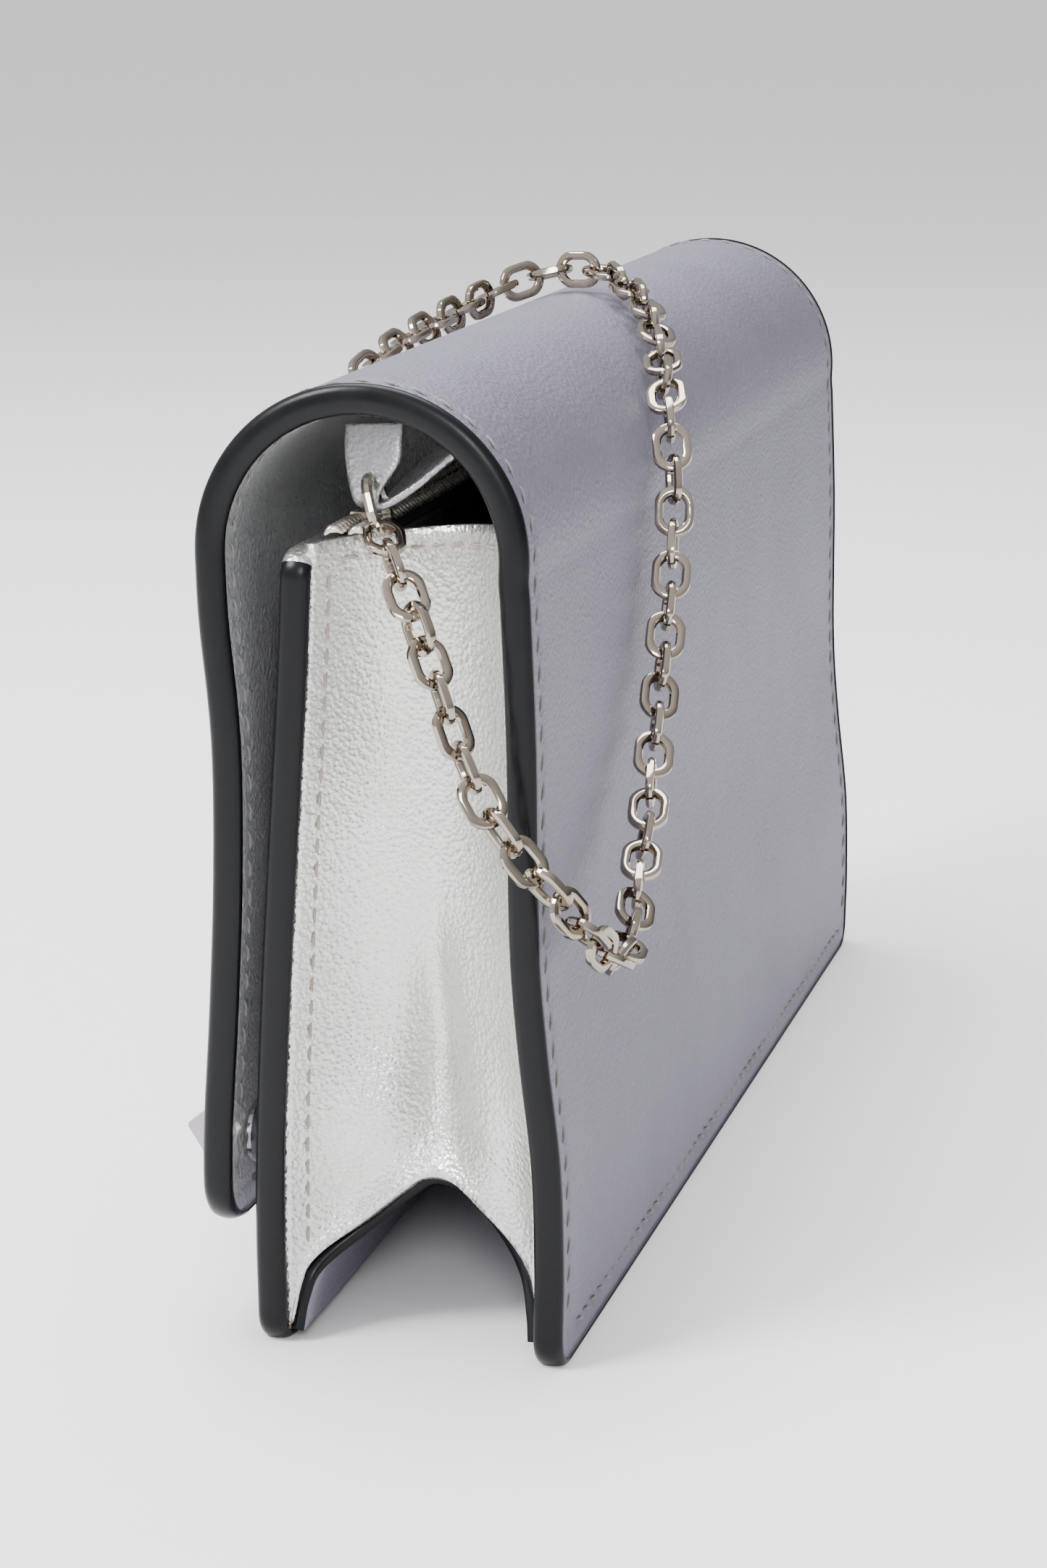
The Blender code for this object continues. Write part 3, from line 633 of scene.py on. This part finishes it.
def gusset_point(share, height):
    """A gusset's outer surface, for the right end: share runs from front to back, height from 0 to 1."""
    low = smooth(BOTTOM_LINE, 6)
    front_low = face_y(FRONT_FACE, 4.0, PANEL)
    back_low = face_y(BACK_FACE, 4.0, -PANEL)
    y_low = front_low + share * (back_low - front_low)
    z_low = max(0.8, float(np.interp(y_low, low[:, 0], low[:, 1])) + 0.5)
    top = GUSSET_TOP_FRONT + share * (GUSSET_TOP_BACK - GUSSET_TOP_FRONT)
    z = z_low + height * (top - z_low)
    front = face_y(FRONT_FACE, min(z, 95.0), PANEL)
    back = face_y(BACK_FACE, min(z, 91.0), -PANEL)
    y = front + share * (back - front)
    depth = recess(share, height)
    for size, middle, width, level, tall in GUSSET_DENTS:
        depth += size * math.exp(-(((share - middle) / width) ** 2)) * math.exp(-(((z - level) / tall) ** 2))
    depth += 0.35 * math.sin(z * 0.16 + share * 5.0) * math.exp(-(((share - 0.5) / 0.4) ** 2))
    curl = max(0.0, 1 - height / CURL_HEIGHT)
    depth -= CURL_DEPTH * curl * curl * (1 - abs(2 * share - 1) ** 4)
    return (HALF - END_GAP - depth, y, z)


def make_gussets():
    """The end walls, dished and creased, with stitches along the front edge and the top."""
    shares = list(np.linspace(0.0, 1.0, 49))
    heights = list(np.linspace(0.0, 1.0, 90))
    base = [[gusset_point(u, v) for u in shares] for v in heights]
    seams = [
        [gusset_point(0.07, v) for v in np.linspace(0.03, 0.96, 30)],
        [gusset_point(u, 0.973) for u in np.linspace(0.10, 0.97, 9)],
    ]
    faces, finish = wall_faces(len(heights), len(shares), 0, 1, 0)
    for name, side in (("gusset_right", 1), ("gusset_left", -1)):
        outer = np.array(base) * (side, 1, 1)
        normal = np.cross(np.gradient(outer, axis=1), np.gradient(outer, axis=0))
        normal /= np.linalg.norm(normal, axis=2)[:, :, None]
        normal *= np.sign(normal[:, :, 0:1] * side + 1e-9)
        inner = outer - normal * GUSSET_WALL
        points = np.concatenate([outer.reshape(-1, 3), inner.reshape(-1, 3)])
        # The gussets' outer faces take the paler copy of the silver leather, painted light where they face
        # the lamps.
        gusset = to_object(name + "_wall", points, faces, ("lit_silver", "fabric"), finish)
        face_out(gusset)
        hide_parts(name)
        squeeze(gusset)
        starts, ends, normals = [], [], []
        for path in seams:
            path = np.array(path) * (side, 1, 1) + (side * 0.05, 0, 0)
            for a, b in zip(path, path[1:]):
                starts.append(a + (b - a) * STITCH_GAP)
                ends.append(b - (b - a) * STITCH_GAP)
                normals.append((side, 0, 0))
        thread_points, thread_faces = [], []
        add_capsules(thread_points, thread_faces, starts, ends, normals, GUSSET_THREAD)
        squeeze(to_object(name + "_stitches", thread_points, thread_faces, ("thread",)))


def squeeze(piece):
    """Puts the piece on the back shell's body, with a mesh of its own."""
    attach(piece, "back_shell")
    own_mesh(piece)


def fold_layer(name, low, high, set_in, face, rim):
    """One layer of the folded bottom, between two depths above its line, with its own rim."""
    line = evenly(smooth(BOTTOM_LINE, 6), 0.8)
    sheet = Sheet(line, 0.8)
    width = line[-1, 0] - line[0, 0]
    rows, count = len(sheet.run), 40
    points = []
    for depth in (-low, -high):
        for s, (y, _) in zip(sheet.run, line):
            share = min(1.0, max(0.0, (y - line[0, 0]) / width))
            end = HALF - END_GAP - recess(share, 0.0) - set_in
            points += [sheet.at(s, x, depth) for x in np.linspace(-end, end, count)]
    faces, finish = wall_faces(rows, count, 0, 0, 1)
    layer = to_object(name, points, faces, (face, rim), finish)
    face_out(layer)
    return layer


def make_bottom():
    """The folded bottom: a silver layer with a painted edge, and a raw layer between it and the gussets."""
    bottom = fold_layer("folded_bottom", -1.3, 0.3, 0.3, "silver", "edge")
    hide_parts("bottom_fold")
    squeeze(bottom)
    squeeze(fold_layer("bottom_raw_layer", 0.35, 0.95, 0.1, "raw", "raw"))


# Chain


def link_shape(length, width, wire, around=28, sides=10):
    """A link's points and faces: an oval ring in x and y, with flats ground on its outside."""
    radius = (width - wire) / 2
    straight = (length - width) / 2
    points, faces = [], []
    for k in range(around):
        a = 2 * math.pi * (k + 0.5) / around
        out = np.array([math.cos(a), math.sin(a), 0])
        centre = radius * out + (0, math.copysign(straight, math.sin(a)), 0)
        for m in range(sides):
            b = 2 * math.pi * m / sides
            place = centre + out * math.cos(b) * wire / 2 + np.array([0, 0, math.sin(b) * wire / 2])
            place[0] = max(-width / 2 + LINK_FLATS[0], min(width / 2 - LINK_FLATS[0], place[0]))
            place[2] = max(-wire / 2 + LINK_FLATS[1], min(wire / 2 - LINK_FLATS[1], place[2]))
            points.append(place)
    for k in range(around):
        n = (k + 1) % around
        for m in range(sides):
            o = (m + 1) % sides
            faces.append((k * sides + m, k * sides + o, n * sides + o, n * sides + m))
    return np.array(points), faces


def chain(name, route):
    """A cable chain along a route: each link is turned a quarter from the last."""
    line = evenly(smooth(route, 8), 0.5)
    run = lengths(line)
    count = max(2, int(round(run[-1] / LINK_PITCH)))
    shape, shape_faces = link_shape(LINK_LENGTH, CHAIN_WIDTH - 0.1, LINK_WIRE)
    places = (np.arange(count) + 0.5) * run[-1] / count
    along_all = np.gradient(line, axis=0)
    side = np.array([0.3, -0.6, 1.0])
    rng = np.random.default_rng(7)
    points, faces = [], []
    for k, s in enumerate(places):
        centre = np.array([np.interp(s, run, line[:, c]) for c in range(3)])
        along = np.array([np.interp(s, run, along_all[:, c]) for c in range(3)])
        along /= np.linalg.norm(along)
        side = side - along * side.dot(along)
        side /= np.linalg.norm(side)
        other = np.cross(along, side)
        turn = math.radians(45 + 90 * (k % 2) + rng.uniform(-LINK_TILT, LINK_TILT))
        flat = side * math.cos(turn) + other * math.sin(turn)
        up = np.cross(flat, along)
        base = len(points)
        for x, y, z in shape:
            points.append(centre + flat * x + along * y + up * z)
        faces += [tuple(base + v for v in face) for face in shape_faces]
    thing = to_object(name, points, faces, ("chain",))
    thing.data.set_sharp_from_angle(angle=math.radians(32))
    path = (evenly(line, 6.0) + (0, SHIFT_Y, 0)) * MM
    return thing, path


def make_chain():
    """The chain in three stretches. The middle one, across the flap, is baked in place; the other two go on
    the back shell's body.
    """
    stretches = {
        "chain_loop": START_JOIN + LOOP_ROUTE,
        "chain_swag": SWAG_START_JOIN + SWAG_ROUTE + SWAG_END_JOIN,
        "chain_return": RETURN_ROUTE + END_JOIN,
    }
    for node, route in stretches.items():
        piece, path = chain(node + "_links", route)
        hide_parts(node)
        if node == "chain_swag":
            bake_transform(piece)
        else:
            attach(piece, "back_shell")


# Tabs

# The strap's middle line for the right end, and half its width as a vector at each of its points.
TAB_PATH = [
    (87.2, -5.8, 109.3), (87.9, -5.7, 107.2), (88.4, -5.6, 104.9), (88.7, -6.0, 102.4),
    (88.5, -6.2, 100.9), (87.7, -5.6, 100.1), (86.7, -4.2, 100.6), (85.6, -2.0, 102.5),
    (84.4, 0.6, 104.9), (83.4, 3.0, 107.0), (82.6, 4.6, 108.4),
]
TAB_ACROSS = [
    (0.3, 3.5, 0.2), (0.3, 3.5, 0.3), (0.4, 3.3, 0.5), (0.6, 2.3, 0.8), (0.9, 1.6, 0.6), (1.6, 1.0, 0.2),
    (2.0, 1.0, 0.2), (2.4, 1.4, 0.0), (2.7, 1.6, 0.0), (3.0, 1.7, 0.0), (3.1, 1.7, 0.0),
]
TAB_THICKNESS = 1.2


def make_tabs():
    """A leather strap under each end of the roll, folded round the chain's end link."""
    path, across = smooth(TAB_PATH, 5), smooth(TAB_ACROSS, 5)
    along = np.gradient(path, axis=0)
    normal = np.cross(along, across)
    normal /= np.linalg.norm(normal, axis=1)[:, None]
    section = []
    for k in range(20):
        a = 2 * math.pi * k / 20
        wide = math.copysign(abs(math.cos(a)) ** 0.45, math.cos(a))
        thick = math.copysign(abs(math.sin(a)) ** 0.7, math.sin(a))
        section.append((wide, thick * TAB_THICKNESS / 2))
    for name, side in (("tab_right", 1), ("tab_left", -1)):
        points, faces = [], []
        for centre, half, up in zip(path, across, normal):
            points += [(centre + half * wide + up * thick) * (side, 1, 1) for wide, thick in section]
        count = len(section)
        for i in range(len(path) - 1):
            for j in range(count):
                n = (j + 1) % count
                low, high = i * count, (i + 1) * count
                faces.append((low + j, low + n, high + n, high + j))
        faces.append(tuple(range(count)))
        faces.append(tuple((len(path) - 1) * count + j for j in reversed(range(count))))
        tab = to_object(name + "_strap", points, faces, ("tab",))
        face_out(tab)
        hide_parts(name)
        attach(tab, "back_shell")


# Zip

ZIP_Y = -8.0
COIL_ENDS = (-75.0, 91.5)
COIL_PITCH = 1.25
COIL_RADIUS = 0.5


def make_zip():
    """Two rows of slanted coil turns."""
    for name, side in (("zip_coil_front", -1), ("zip_coil_rear", 1)):
        points, faces, starts, ends, normals = [], [], [], [], []
        for x in np.arange(*COIL_ENDS, COIL_PITCH):
            starts.append((x + side * 0.25, ZIP_Y + side * 0.35, 97.7))
            ends.append((x - side * 0.55, ZIP_Y + side * 2.5, 97.5))
            normals.append((0, 0, 1))
        add_capsules(points, faces, starts, ends, normals, COIL_RADIUS, 8)
        row = to_object(name + "_turns", points, faces, ("coil",))
        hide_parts(name)
        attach(row, "front_pocket")


# The CAD pieces that stay as they are

CAD_FINISH = {
    "fabric": ("pocket_divider", "card_slot_upper", "card_slot_middle", "card_slot_lower",
               "zip_tape_front", "zip_tape_rear"),
    "coil": ("zip_stop_right", "zip_stop_left"),
    "stud": ("stud_cap_right", "stud_cap_left"),
    "bright": ("zip_slider", "zip_pull", "snap_socket_right", "snap_socket_left", "snap_ball_right",
               "snap_ball_left", "snap_rivet_right", "snap_rivet_left"),
    "chain": ("end_link_right", "end_link_left"),
}


def finish_cad_nodes():
    """Gives them detailed materials."""
    for finish, names in CAD_FINISH.items():
        for name in names:
            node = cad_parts[name]
            node.data.materials.clear()
            node.data.materials.append(FINISH[finish])


make_camera()
make_light()
make_floor()
make_chain()
make_shell()
make_front()
make_gussets()
make_bottom()
make_tabs()
make_zip()
finish_cad_nodes()
